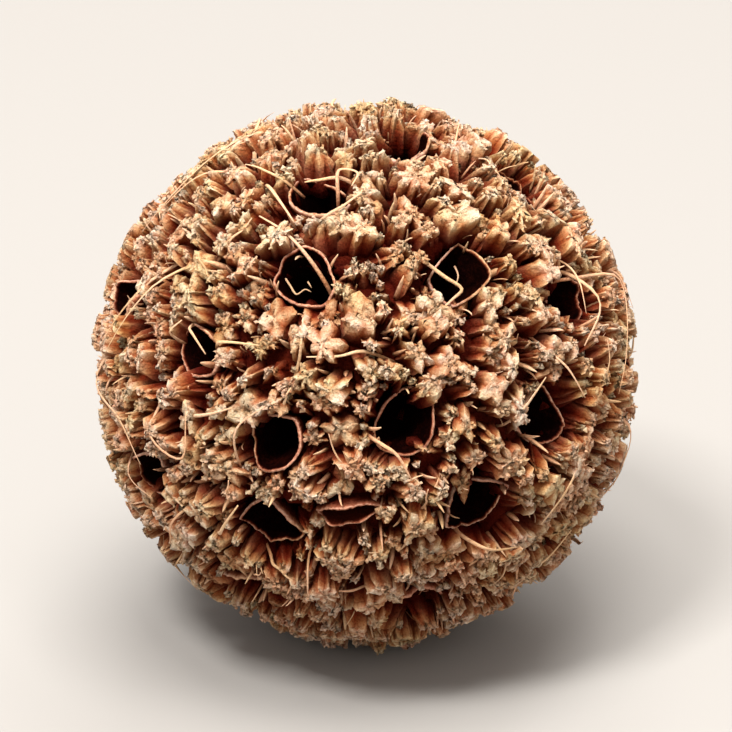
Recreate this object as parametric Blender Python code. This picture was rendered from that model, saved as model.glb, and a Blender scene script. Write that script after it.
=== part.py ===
"""A dried sweetgum seed ball, resting on a small flat spot on its underside.

The ball grew as one woody piece, so it is one solid. Every point of its surface is a direction out of
the ball's middle and a distance from it. The directions are joined into triangles by a Delaunay
triangulation, which never folds over, and the distances raise the scales and sink the capsules.
The bristles stand free of the scales, so they are bent rods, joined on by a Boolean union.

Metres, +Z up. The origin is the centre of the stalk scar, in the plane that the ball rests on.
"""

import math
import random

import bmesh
import bpy
import numpy as np
from mathutils import Vector, noise
from mathutils.geometry import delaunay_2d_cdt

MM = 0.001
SEED = 7

# Overall size
BALL_RADIUS = 14.8 * MM
FLAT_DEPTH = 0.5 * MM
CENTRE = Vector((0.0, 0.0, BALL_RADIUS - FLAT_DEPTH))

# The ball is a little lumpy: its distances swell and shrink by this share
LUMPINESS = 0.012
LUMPS_ACROSS = 1.8

# Scales: how many, their sizes against each other, and the random shift of their even spread in radians
SCALE_COUNT = 1030
SCALE_SIZE = (0.8, 1.25)
SCALE_SCATTER = 0.03

# How far the scales' tips, and the valleys between them, lie from the middle
TIP_RADIUS = (13.8 * MM, 14.7 * MM)
VALLEY_RADIUS = (12.6 * MM, 13.0 * MM)

# Most scales end in a short ridge with uneven ends, and the rest in a point
RIDGE_SHARE = 0.8
RIDGE_LENGTH = (0.5 * MM, 0.95 * MM)
RIDGE_UNEVENNESS = 0.4 * MM
TIP_LEAN = 0.3 * MM

# How the scales spread out: in steps, in which scales that are too close move apart by a share of the
# overlap, and scales that are on an opening move off it
SPREADING_STEPS = 60
SCALE_PUSH = 0.3
OPENING_PUSH = 0.9
CROWDING = 1.06
COVERED_SHARE = 0.72
NEVER_CLOSE = 9.0

# Capsules: the half length and half width of their openings, their worn lips, and their pits
CAPSULE_COUNT = 36
CAPSULE_SIDES = 8
CAPSULE_MARGIN = 0.6 * MM
OPENING_LONG = 1.7 * MM
OPENING_WIDE = 1.35 * MM
OPENING_UNEVENNESS = (0.93, 1.07)
LIP_RADIUS = 13.2 * MM
LIP_RISE = 0.6 * MM
LIP_UNEVENNESS = (0.5, 1.4)
LIP_THICKNESS = 0.3 * MM
THROAT_RADIUS = 12.6 * MM
THROAT_SHARE = (0.82, 0.88)
FLOOR_RADIUS = 8.8 * MM
FLOOR_SHARE = (0.82, 0.92)
FLOOR_UNEVENNESS = (0.98, 1.04)
FLOOR_MIDDLE = 0.98

# Capsules with a half width below this have hardly opened, and are shallow
CLOSED_WIDTH = 0.95 * MM
CLOSED_RADIUS = 12.0 * MM

# The capsules that are placed one by one: places to choose from, sizes, and how wide they gape
PLACE_CHOICES = 1500
CAPSULE_SIZE = (0.85, 1.15)
CAPSULE_GAPE = (0.45, 0.8, 0.95, 1.0, 1.05)

# Stalk scar on the underside, and the spot round it where the scales are pressed flat
SCAR_SIDES = 12
SCAR_RADIUS = 1.7 * MM
SCAR_SKIRT_RADIUS = 2.0 * MM
SCAR_HEIGHT = 1.1 * MM
SCAR_CLEARANCE = 0.35 * MM
RESTING_ANGLE = math.radians(15.5)

# Bristles: they rise steeply out of a valley and taper towards their tips
BRISTLE_COUNT = 40
BRISTLE_THICKNESS = 0.36 * MM
BRISTLE_SIDES = 3
BRISTLE_STEPS = 4
BRISTLE_LENGTH = (3.5 * MM, 7.5 * MM)
BRISTLE_ROOT_RADIUS = 11.7 * MM
BRISTLE_TOP_RADIUS = (14.4 * MM, 14.8 * MM)
BRISTLE_BEND = 0.3
BRISTLE_STEEPNESS = 2.2
BRISTLE_ROOT_WIDTH = 1.25
BRISTLE_TAPER = 0.5
BRISTLE_OPENING_CLEARANCE = 0.3 * MM
BRISTLE_FLOOR_CLEARANCE = 1.0 * MM

# The side of the ball that is best seen looks along VIEW_LIFT above the horizon, from -Y.
VIEW_LIFT = math.radians(25.0)

# Openings on that side, as (share of the radius to the right, share of the radius up, size, how wide it
# gapes, turn in degrees of the long axis from the horizontal)
SEEN_CAPSULES = (
    (0.15, 0.88, 1.00, 1.00, 10),
    (0.60, 0.73, 1.00, 1.00, 60),
    (-0.19, 0.68, 1.10, 1.00, -20),
    (-0.24, 0.35, 1.10, 1.00, -30),
    (0.36, 0.37, 1.15, 1.00, 60),
    (0.79, 0.29, 1.05, 1.00, 80),
    (-0.64, 0.08, 0.95, 1.00, -40),
    (-0.36, -0.26, 1.10, 1.00, 50),
    (0.15, -0.20, 1.15, 0.95, 65),
    (0.70, -0.17, 1.20, 1.05, -25),
    (-0.37, -0.60, 1.20, 1.00, -5),
    (0.43, -0.54, 1.25, 0.95, 30),
    (-0.46, -0.83, 0.90, 1.00, 20),
    (0.19, -0.90, 1.10, 1.00, 0),
    (-0.07, -0.53, 1.15, 0.48, 8),
)

# Lengths and angles below this count as nothing
TINY = 1e-6

# Points of the flattened ball that are closer than this become one
MERGE_DISTANCE = 1e-9


def clear_scene():
    for obj in list(bpy.data.objects):
        bpy.data.objects.remove(obj)


def angle_of(length):
    """The angle that a length takes on the surface of the ball."""
    return length / BALL_RADIUS


def tangents(direction):
    """Two directions along the surface at a direction out of the ball: level to the right, and upwards."""
    right = Vector((0.0, 0.0, 1.0)).cross(direction)
    if right.length < TINY:
        right = Vector((1.0, 0.0, 0.0))
    right.normalize()
    return right, direction.cross(right)


def stepped(direction, right, up, x, y):
    """The direction reached from another by angles x and y along its tangents."""
    angle = math.hypot(x, y)
    if angle < TINY:
        return direction.copy()
    along = (right * x + up * y) / angle
    return direction * math.cos(angle) + along * math.sin(angle)


def even_directions(count):
    """Directions spread evenly over a sphere in a golden spiral."""
    turn = math.pi * (3.0 - math.sqrt(5.0))
    found = []
    for i in range(count):
        z = 1.0 - 2.0 * (i + 0.5) / count
        ring = math.sqrt(1.0 - z * z)
        found.append(Vector((ring * math.cos(i * turn), ring * math.sin(i * turn), z)))
    return found


def seen_direction(x, y):
    """The direction out of the ball that shows at shares of its radius right and up on the best-seen side."""
    toward = Vector((0.0, -math.cos(VIEW_LIFT), math.sin(VIEW_LIFT)))
    right = Vector((1.0, 0.0, 0.0))
    depth = math.sqrt(1.0 - x * x - y * y)
    return (right * x + toward.cross(right) * y + toward * depth).normalized()


def capsule_places(rng):
    """Each capsule as (direction, half length, half width, turn): those on the best-seen side, then the rest
    one by one, each as far from all the others and from the stalk scar as it can be."""
    places = []
    for x, y, size, gape, turn in SEEN_CAPSULES:
        half_width = OPENING_WIDE * size * gape
        places.append((seen_direction(x, y), OPENING_LONG * size, half_width, math.radians(turn)))
    taken = [place[0] for place in places] + [Vector((0.0, 0.0, -1.0))]
    choices = even_directions(PLACE_CHOICES)
    while len(places) < CAPSULE_COUNT:
        best = min(choices, key=lambda choice: max(choice.dot(t) for t in taken))
        taken.append(best)
        size = rng.uniform(*CAPSULE_SIZE)
        gape = rng.choice(CAPSULE_GAPE)
        turn = rng.uniform(0.0, math.pi)
        places.append((best, OPENING_LONG * size, OPENING_WIDE * size * gape, turn))
    return places


def opening_outline(place, rng):
    """Directions round the outside of a capsule's lips, an uneven oval."""
    direction, half_length, half_width, turn = place
    right, up = tangents(direction)
    outline = []
    for i in range(CAPSULE_SIDES):
        angle = 2.0 * math.pi * i / CAPSULE_SIDES
        x = math.cos(angle) * angle_of(half_length + LIP_THICKNESS) * rng.uniform(*OPENING_UNEVENNESS)
        y = math.sin(angle) * angle_of(half_width + LIP_THICKNESS) * rng.uniform(*OPENING_UNEVENNESS)
        turned_x = x * math.cos(turn) - y * math.sin(turn)
        turned_y = x * math.sin(turn) + y * math.cos(turn)
        outline.append(stepped(direction, right, up, turned_x, turned_y))
    return outline


def blocked_directions(places):
    """What the scales keep off, the openings and the scar: directions, and the angle taken round each."""
    blocks = [tuple(place[0]) for place in places]
    angles = [angle_of((place[1] + place[2]) / 2.0 + CAPSULE_MARGIN) for place in places]
    blocks.append((0.0, 0.0, -1.0))
    angles.append(angle_of(SCAR_SKIRT_RADIUS + SCAR_CLEARANCE))
    return np.array(blocks), np.array(angles)


def pushed(tips, others, reach, strength):
    """The tips, moved away from others that are nearer than their reach."""
    gap = tips[:, None, :] - others[None, :, :]
    distance = np.linalg.norm(gap, axis=2)
    distance[distance == 0.0] = NEVER_CLOSE
    push = np.clip(reach - distance, 0.0, None) / distance
    return tips + strength * (gap * push[:, :, None]).sum(1)


def spread_tips(places, rng):
    """Directions of the scales' tips. They start evenly spread, and push each other apart and away from the
    openings, each by its own size, so that rings of scales close round every opening."""
    start = []
    for direction in even_directions(SCALE_COUNT):
        right, up = tangents(direction)
        shift_x, shift_y = rng.gauss(0.0, SCALE_SCATTER), rng.gauss(0.0, SCALE_SCATTER)
        start.append(stepped(direction, right, up, shift_x, shift_y))
    tips = np.array([tuple(direction) for direction in start])
    size = np.array([rng.uniform(*SCALE_SIZE) for _ in start])
    blocks, angles = blocked_directions(places)
    to_blocks = np.arccos(np.clip(tips @ blocks.T, -1.0, 1.0))
    covered = (to_blocks < angles * COVERED_SHARE).any(1)
    tips, size = tips[~covered], size[~covered]
    free_area = 4.0 * math.pi - 2.0 * math.pi * (1.0 - np.cos(angles)).sum()
    spacing = math.sqrt(free_area / len(tips) * 2.0 / math.sqrt(3.0)) * CROWDING
    reach = spacing * (size[:, None] + size[None, :]) / 2.0
    for _ in range(SPREADING_STEPS):
        tips = pushed(tips, tips, reach, SCALE_PUSH)
        tips = pushed(tips, blocks, angles[None, :], OPENING_PUSH)
        tips /= np.linalg.norm(tips, axis=1)[:, None]
    return [Vector(t) for t in tips]


def flattened(direction):
    """Direction as a point in a plane, seen from the stalk scar, so that triangles stay triangles."""
    return Vector((direction.x, direction.y)) / (1.0 + direction.z)


def triangles_between(directions, edges=()):
    """Delaunay triangles between directions, but for the face that holds the stalk scar, which stays open."""
    points = [flattened(d) for d in directions]
    _, _, faces, origin, _, _ = delaunay_2d_cdt(points, list(edges), [], 0, MERGE_DISTANCE)
    return [tuple(origin[v][0] for v in face) for face in faces]


def swelling(direction):
    """How much the lumpy ball stands out at a direction, as a factor near 1."""
    return 1.0 + LUMPINESS * noise.noise(direction * LUMPS_ACROSS)


def resting_distance(direction, distance):
    """The distance, cut back to where the direction meets the plane that the ball rests on."""
    if direction.z >= 0.0:
        return distance
    return min(distance, CENTRE.z / -direction.z)


class Surface:
    """Points of the ball's surface as directions and distances from its middle, with the edges to keep."""

    def __init__(self):
        self.directions = []
        self.distances = []
        self.edges = []

    def add(self, direction, distance):
        direction = direction.normalized()
        self.directions.append(direction)
        self.distances.append(resting_distance(direction, distance * swelling(direction)))
        return len(self.directions) - 1

    def add_ring(self, directions, distances):
        ring = [self.add(d, r) for d, r in zip(directions, distances)]
        self.edges += [(ring[i - 1], ring[i]) for i in range(len(ring))]
        return ring

    def add_point(self, point):
        offset = point - CENTRE
        self.directions.append(offset.normalized())
        self.distances.append(offset.length)
        return len(self.directions) - 1

    def point(self, index):
        return CENTRE + self.directions[index] * self.distances[index]


def add_scar(surface):
    """The stub of the stalk: a flat disc in the resting plane, with a short skirt rising to the ball. The
    disc is added first, so that it is the outline of the flattened plane."""
    rings = []
    for radius, height in ((SCAR_RADIUS, 0.0), (SCAR_SKIRT_RADIUS, SCAR_HEIGHT)):
        ring = []
        for i in range(SCAR_SIDES):
            angle = 2.0 * math.pi * i / SCAR_SIDES
            point = Vector((radius * math.cos(angle), radius * math.sin(angle), height))
            ring.append(surface.add_point(point))
        surface.edges += [(ring[i - 1], ring[i]) for i in range(SCAR_SIDES)]
        rings.append(ring)
    return rings


def add_capsules(surface, places, rng):
    """Each capsule's lips, throat and pit. The two lips stand highest halfway along the opening's long sides.
    It gives the indices of each lip's ring."""
    lips = []
    for place in places:
        middle, _, half_width, _ = place
        floor_radius = CLOSED_RADIUS if half_width < CLOSED_WIDTH else FLOOR_RADIUS
        heights = []
        for i in range(CAPSULE_SIDES):
            rise = abs(math.sin(2.0 * math.pi * i / CAPSULE_SIDES)) * rng.uniform(*LIP_UNEVENNESS)
            heights.append(LIP_RADIUS + LIP_RISE * rise)
        outline = opening_outline(place, rng)
        lips.append(surface.add_ring(outline, heights))
        throat = [middle.lerp(d, rng.uniform(*THROAT_SHARE)) for d in outline]
        surface.add_ring(throat, [THROAT_RADIUS] * CAPSULE_SIDES)
        floor = [middle.lerp(d, rng.uniform(*FLOOR_SHARE)) for d in throat]
        surface.add_ring(floor, [floor_radius * rng.uniform(*FLOOR_UNEVENNESS) for _ in floor])
        surface.add(middle, floor_radius * FLOOR_MIDDLE)
    return lips


def add_valleys(surface, tips, lips, skirt, rng):
    """The low points between scales: one in each triangle that joins tips, lips and the scar's skirt."""
    sites = [surface.directions[i] for i in skirt]
    owner = ["scar"] * len(skirt)
    for k, lip in enumerate(lips):
        sites += [surface.directions[i] for i in lip]
        owner += [k] * len(lip)
    sites += tips
    owner += [None] * len(tips)
    for triangle in triangles_between(sites):
        owners = {owner[i] for i in triangle}
        if len(owners) == 1 and owners != {None}:
            continue
        middle = sum((sites[i] for i in triangle), Vector()) / len(triangle)
        surface.add(middle, rng.uniform(*VALLEY_RADIUS))


def add_tips(surface, tips, rng):
    """Each scale's top: a point, or a short ridge between two points."""
    lean = angle_of(TIP_LEAN)
    for tip in tips:
        right, up = tangents(tip)
        distance = rng.uniform(*TIP_RADIUS)
        if tip.z < -math.cos(RESTING_ANGLE):
            distance = BALL_RADIUS / math.cos(RESTING_ANGLE)
        top = stepped(tip, right, up, rng.uniform(-lean, lean), rng.uniform(-lean, lean))
        if rng.random() > RIDGE_SHARE:
            surface.add(top, distance)
            continue
        half = angle_of(rng.uniform(*RIDGE_LENGTH)) / 2.0
        turn = rng.uniform(0.0, math.pi)
        for side in (-half, half):
            end = stepped(tip, right, up, side * math.cos(turn), side * math.sin(turn))
            surface.add(end, distance - rng.uniform(0.0, RIDGE_UNEVENNESS))


def woody_material():
    material = bpy.data.materials.new("dry_woody_scales")
    material.use_nodes = True
    shader = material.node_tree.nodes["Principled BSDF"]
    shader.inputs["Base Color"].default_value = (0.33, 0.17, 0.085, 1.0)
    shader.inputs["Roughness"].default_value = 0.85
    shader.inputs["Metallic"].default_value = 0.0
    return material


def build_head(places, rng):
    """The woody head as one closed mesh, with its scales, capsules and scar."""
    surface = Surface()
    scar, skirt = add_scar(surface)
    tips = spread_tips(places, rng)
    lips = add_capsules(surface, places, rng)
    add_valleys(surface, tips, lips, skirt, rng)
    add_tips(surface, tips, rng)
    mesh = bpy.data.meshes.new("seed_ball")
    bm = bmesh.new()
    corners = [bm.verts.new(surface.point(i)) for i in range(len(surface.directions))]
    for triangle in triangles_between(surface.directions, surface.edges):
        bm.faces.new([corners[i] for i in triangle])
    bm.faces.new([corners[i] for i in scar])
    bmesh.ops.recalc_face_normals(bm, faces=bm.faces)
    bm.to_mesh(mesh)
    bm.free()
    head = bpy.data.objects.new("seed_ball", mesh)
    bpy.context.scene.collection.objects.link(head)
    return head


def bristle_path(root, heading, length, top):
    """Points along a bristle: out of a valley, over the scales, and bent along them towards its tip."""
    points = []
    right, up = tangents(root)
    for i in range(BRISTLE_STEPS + 1):
        share = i / BRISTLE_STEPS
        along = angle_of(length) * share
        swing = heading + BRISTLE_BEND * share
        direction = stepped(root, right, up, along * math.cos(swing), along * math.sin(swing))
        rise = 1.0 - (1.0 - share) ** BRISTLE_STEEPNESS
        points.append(CENTRE + direction * (BRISTLE_ROOT_RADIUS + (top - BRISTLE_ROOT_RADIUS) * rise))
    return points


def bristle_mesh(points):
    """A tapered rod with few sides along the points, ending in a point."""
    mesh = bpy.data.meshes.new("bristle")
    bm = bmesh.new()
    rings = []
    for i, point in enumerate(points[:-1]):
        ahead = (points[i + 1] - points[max(i - 1, 0)]).normalized()
        outward = (point - CENTRE).normalized()
        side = ahead.cross(outward).normalized()
        lift = side.cross(ahead)
        radius = BRISTLE_THICKNESS / 2.0 * (BRISTLE_ROOT_WIDTH - BRISTLE_TAPER * i / len(points))
        ring = []
        for k in range(BRISTLE_SIDES):
            angle = 2.0 * math.pi * k / BRISTLE_SIDES
            ring.append(bm.verts.new(point + (side * math.cos(angle) + lift * math.sin(angle)) * radius))
        rings.append(ring)
    bm.faces.new(rings[0])
    for low, high in zip(rings, rings[1:]):
        for k in range(BRISTLE_SIDES):
            bm.faces.new((low[k - 1], low[k], high[k], high[k - 1]))
    tip = bm.verts.new(points[-1])
    for k in range(BRISTLE_SIDES):
        bm.faces.new((rings[-1][k - 1], rings[-1][k], tip))
    bmesh.ops.triangulate(bm, faces=bm.faces)
    bmesh.ops.recalc_face_normals(bm, faces=bm.faces)
    bm.to_mesh(mesh)
    bm.free()
    return mesh


def near_opening(root, places):
    """Whether a bristle's root would stand in a capsule or on its lips."""
    return any(root.angle(place[0]) < angle_of(place[1] + BRISTLE_OPENING_CLEARANCE) for place in places)


def bristle_paths(places, rng):
    """The bristles, spread over the ball, each rooted beside the openings and clear of the resting spot."""
    paths = []
    roots = even_directions(BRISTLE_COUNT * 2)
    rng.shuffle(roots)
    for root in roots:
        if len(paths) == BRISTLE_COUNT:
            break
        heading = rng.uniform(0.0, 2.0 * math.pi)
        length = rng.uniform(*BRISTLE_LENGTH)
        top = rng.uniform(*BRISTLE_TOP_RADIUS)
        points = bristle_path(root, heading, length, top)
        if near_opening(root, places) or min(p.z for p in points) < BRISTLE_FLOOR_CLEARANCE:
            continue
        paths.append(points)
    return paths


def add_bristles(head, places, rng):
    """Joins the bristles to the head."""
    collection = bpy.data.collections.new("bristles")
    bpy.context.scene.collection.children.link(collection)
    for points in bristle_paths(places, rng):
        bristle = bpy.data.objects.new("bristle", bristle_mesh(points))
        collection.objects.link(bristle)
    union = head.modifiers.new("join_bristles", "BOOLEAN")
    union.operation = "UNION"
    union.solver = "MANIFOLD"
    union.operand_type = "COLLECTION"
    union.collection = collection
    graph = bpy.context.evaluated_depsgraph_get()
    joined = bpy.data.meshes.new_from_object(head.evaluated_get(graph))
    head.modifiers.clear()
    head.data = joined
    joined.name = "seed_ball"
    for bristle in list(collection.objects):
        bpy.data.objects.remove(bristle)
    bpy.data.collections.remove(collection)


def main():
    clear_scene()
    rng = random.Random(SEED)
    places = capsule_places(rng)
    head = build_head(places, rng)
    add_bristles(head, places, random.Random(SEED + 1))
    head.data.materials.clear()
    head.data.materials.append(woody_material())


main()
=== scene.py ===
"""The looks of a dried sweetgum seed ball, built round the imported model.

The capsules and the 40 long bristles stand in the solid's places. The scales cover the same surface as there,
but are finer and more numerous. Each is a fluted peg: a ring of lobes with creases between them, repeated up
its sides and over its crown. Metres, +Z up. The origin is the middle of the scar, in the plane it rests on.
"""

import math
import random

import bpy
import numpy as np
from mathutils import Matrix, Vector, noise


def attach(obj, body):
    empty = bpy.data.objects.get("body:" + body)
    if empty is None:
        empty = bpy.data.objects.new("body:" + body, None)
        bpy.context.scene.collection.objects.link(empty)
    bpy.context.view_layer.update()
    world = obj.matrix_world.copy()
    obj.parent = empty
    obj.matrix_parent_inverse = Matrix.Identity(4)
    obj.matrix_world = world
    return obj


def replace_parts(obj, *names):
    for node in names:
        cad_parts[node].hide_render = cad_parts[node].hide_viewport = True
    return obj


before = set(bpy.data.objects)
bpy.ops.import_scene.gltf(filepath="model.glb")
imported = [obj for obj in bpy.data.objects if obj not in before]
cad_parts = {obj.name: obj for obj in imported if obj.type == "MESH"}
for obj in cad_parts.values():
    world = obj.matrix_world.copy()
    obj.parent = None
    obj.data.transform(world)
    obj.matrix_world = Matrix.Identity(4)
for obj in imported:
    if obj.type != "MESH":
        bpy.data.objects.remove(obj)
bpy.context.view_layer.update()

MM = 0.001
SEED = 7

# Size and lumpiness of the ball, as in the solid
BALL_RADIUS = 14.8 * MM
FLAT_DEPTH = 0.5 * MM
CENTRE = Vector((0.0, 0.0, BALL_RADIUS - FLAT_DEPTH))
LUMPINESS = 0.012
LUMPS_ACROSS = 1.8

# The best-seen side is looked down on at this angle
VIEW_LIFT = math.radians(25.0)
TOWARD_VIEW = (0.0, -math.cos(VIEW_LIFT), math.sin(VIEW_LIFT))

# Tips further out than this are drawn in by a share of the rest, except those that point down
FURTHEST = 14.4 * MM
DRAWN_IN = 0.65
POINTING_DOWN = -0.9

# Places of the large scales
SCALE_COUNT = 1300
SCALE_SIZE = (0.72, 1.35)
SCALE_SCATTER = 0.03
SPREADING_STEPS = 60
CROWDING = 1.06
CAPSULE_MARGIN = 0.6 * MM
SCAR_MARGIN = 0.35 * MM
# Scales that start further inside an opening than this share of its radius are left out
STARTING_SHARE = 0.72
# Scales within this angle of straight down are pressed flat by the ball's weight
RESTING_ANGLE = math.radians(15.5)

# Shape of a large scale
SCALE_ROOT = 12.1 * MM
SCALE_TOP = (13.8 * MM, 14.65 * MM)
SCALE_FILL = (0.78, 1.06)
SCALE_LOBES = (4, 5, 6, 7)
LOBE_SAMPLES = 4
LOBE_WIDTHS = (0.55, 1.45)
LOBE_REACHES = (-0.38, 0.22)
SCALE_LEAN = 0.36 * MM
# Rings up the sides, as (share of the height, rounding in), and over the crown, as shares of its radius
SIDE_ROWS = ((0.0, 0.0), (0.34, 0.0), (0.60, 0.0), (0.80, 0.0), (0.94, 0.03), (1.0, 0.12))
CROWN_ROWS = (0.74, 0.48, 0.22)
TWIST = 0.25
GNARL = 0.11
GRAIN = 0.036 * MM
CROWN_GRAIN = 2.0
CROWN_CREASE = 0.10 * MM
SCALE_PIECES = ("scales_top", "scales_upper", "scales_lower", "scales_under")
# Ranges of shape for flames that narrow upwards, flat stars and lumps. Dome, dip and jag are in mm.
LARGE_SHAPES = {
    "low": ((1.12, 1.32), (0.90, 1.05), (1.00, 1.20)),
    "high": ((0.30, 0.72), (0.85, 1.14), (0.60, 0.95)),
    "flute": ((0.32, 0.62), (0.34, 0.56), (0.26, 0.54)),
    "sharp": ((0.7, 1.0), (0.7, 1.0), (0.5, 1.0)),
    "dome": ((0.0, 0.22), (0.0, 0.06), (0.0, 0.18)),
    "dip": ((0.0, 0.15), (0.0, 0.14), (0.0, 0.35)),
    "jag": ((0.15, 0.52), (0.06, 0.26), (0.12, 0.40)),
    "stretch": ((0.95, 1.55), (0.90, 1.25), (0.90, 1.35)),
}
# Scales are lower beside an opening and lean away from it, most by its rim and less over the reach
MOUTH_RIM = 0.4 * MM
MOUTH_REACH = 1.1 * MM
MOUTH_DROP = 0.45 * MM
MOUTH_LEAN = 0.35 * MM
# Near the outline of the best-seen side, those in front of an opening are lower still
FRONT_DROP = 0.95 * MM

# Small rounded scales in the gaps between the large ones
SMALL_COUNT = 700
SMALL_LOBES = 5
SMALL_LOBE_SAMPLES = 3
SMALL_HALF_WIDTH = (0.26 * MM, 0.75 * MM)
SMALL_OVERLAP = 1.3
SMALL_TOP = (12.95 * MM, 13.95 * MM)
SMALL_LEAN = 0.12 * MM
SMALL_UNEVENNESS = 0.4
SMALLEST_GAP = 0.05 * MM
SMALL_MOUTH_MARGIN = 0.45 * MM
SMALL_SCAR_MARGIN = 0.2 * MM
GAP_CANDIDATES = 12000
SMALL_SHAPES = {
    "low": (0.9, 1.1),
    "high": (0.7, 1.05),
    "flute": (0.04, 0.26),
    "sharp": (0.0, 0.5),
    "dome": (0.12, 0.30),
    "jag": (0.02, 0.12),
    "stretch": (0.85, 1.25),
}

# Crumbs on the crowns
CRUMB_COUNT = 13000
CRUMB_SPACING = 0.18 * MM
CRUMB_SIZE = (0.05 * MM, 0.15 * MM)
CRUMB_LEVEL = 0.84
CRUMB_CORNERS = ((1, 0, 0), (0, 1, 0), (-1, 0, 0), (0, -1, 0), (0, 0, 1), (0, 0, -1))
CRUMB_FACES = ((0, 1, 4), (1, 2, 4), (2, 3, 4), (3, 0, 4), (1, 0, 5), (2, 1, 5), (3, 2, 5), (0, 3, 5))

# Capsules
CAPSULE_COUNT = 36
CAPSULE_CANDIDATES = 1500
OPENING_LONG = 1.7 * MM
OPENING_WIDE = 1.35 * MM
CAPSULE_SIZE = (0.85, 1.15)
CAPSULE_GAPES = (0.45, 0.8, 0.95, 1.0, 1.05)
PIT_RADIUS = 8.8 * MM
# Capsules narrower than this have hardly opened, and are shallow
CLOSED_WIDTH = 0.95 * MM
CLOSED_RADIUS = 12.0 * MM
# The least level inside a closed capsule, so the painted shade in its shallow pit stays lighter
CLOSED_LEVEL = 0.35

# Lips of the capsules. The rows of a lip's section are depths below its edge in mm.
LIP_AROUND = 72
LIP_RADIUS = 13.05 * MM
LIP_RISE = 0.75 * MM
LIP_WALL = 0.12 * MM
LIP_CHIPS = 0.025 * MM
LIP_ROUGHNESS = 0.012 * MM
# Heights of valves and of their beaks, as shares of the rise
VALVE_HEIGHTS = (-1.3, 1.15)
CLOSED_VALVE_HEIGHTS = (1.1, 1.6)
BEAK_HEIGHTS = (-0.1, 0.5)
BEAK_WIDTH = 0.20
LIP_OUTSIDE = (1.5, 0.9, 0.4, 0.08)
LIP_INSIDE = (0.05, 0.22, 0.6, 1.3, 2.4)
CLOSED_INSIDE_ROWS = 3

# The core that the scales stand on
CORE_RADIUS = 12.75 * MM
CORE_ROUGHNESS = 0.35 * MM
CORE_LEVELS = 5

# Stalk scar
SCAR_RADIUS = 1.7 * MM
SCAR_SKIRT = 2.0 * MM
SCAR_HEIGHT = 1.1 * MM
SCAR_AROUND = 48

# Distances from the middle where the scales and the bristles are darkest. Their darkening towards the middle
# is painted shade between the scales.
LEVEL_LOW = 12.9 * MM
BRISTLE_LEVEL_LOW = 12.4 * MM
BRISTLE_LEVEL_RANGE = 1.6 * MM

# Bristles and slivers
BRISTLE_COUNT = 40
BRISTLE_THICKNESS = 0.27 * MM
BRISTLE_LENGTH = (3.5 * MM, 7.5 * MM)
BRISTLE_ROOT_RADIUS = 11.7 * MM
BRISTLE_TOP_RADIUS = (14.4 * MM, 14.8 * MM)
BRISTLE_BEND = 0.3
BRISTLE_KINKS = 0.20 * MM
SEEN_BRISTLE_SLIMNESS = 0.8
SEEN_BRISTLE_KINKS = 0.10 * MM
# Distances from the ball's middle of a seen bristle's root, first point and other points
SEEN_BRISTLE_RADII = (12.2 * MM, 13.4 * MM, 14.7 * MM)
FINE_COUNT = 60
FINE_THICKNESS = (0.11 * MM, 0.21 * MM)
FINE_LENGTH = (1.6 * MM, 4.2 * MM)
FINE_ROOT = 12.6 * MM
FINE_TOP = (14.0 * MM, 14.6 * MM)
FINE_KINKS = 0.09 * MM
SLIVER_COUNT = 1050
SLIVER_THICKNESS = (0.12 * MM, 0.34 * MM)
SLIVER_ROOT = 12.9 * MM
SLIVER_TOP = (13.6 * MM, 14.6 * MM)
# A sliver's distance from the middle of a scale, and its tip's from over its root
SLIVER_OFFSET = (0.45 * MM, 0.95 * MM)
SLIVER_LEAN = (0.15 * MM, 0.9 * MM)

# Openings on the best-seen side: shares of the radius right and up, size, gape, and turn in degrees
SEEN_CAPSULES = (
    (0.15, 0.88, 1.00, 1.00, 10),
    (0.60, 0.73, 1.00, 1.00, 60),
    (-0.19, 0.68, 1.10, 1.00, -20),
    (-0.24, 0.35, 1.10, 1.00, -30),
    (0.36, 0.37, 1.15, 1.00, 60),
    (0.79, 0.29, 1.05, 1.00, 80),
    (-0.64, 0.08, 0.95, 1.00, -40),
    (-0.36, -0.26, 1.10, 1.00, 50),
    (0.15, -0.20, 1.15, 0.95, 65),
    (0.70, -0.17, 1.20, 1.05, -25),
    (-0.37, -0.60, 1.20, 1.00, -5),
    (0.43, -0.54, 1.25, 0.95, 30),
    (-0.46, -0.83, 0.90, 1.00, 20),
    (0.19, -0.90, 1.10, 1.00, 0),
    (-0.07, -0.53, 1.15, 0.36, 8),
)

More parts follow.
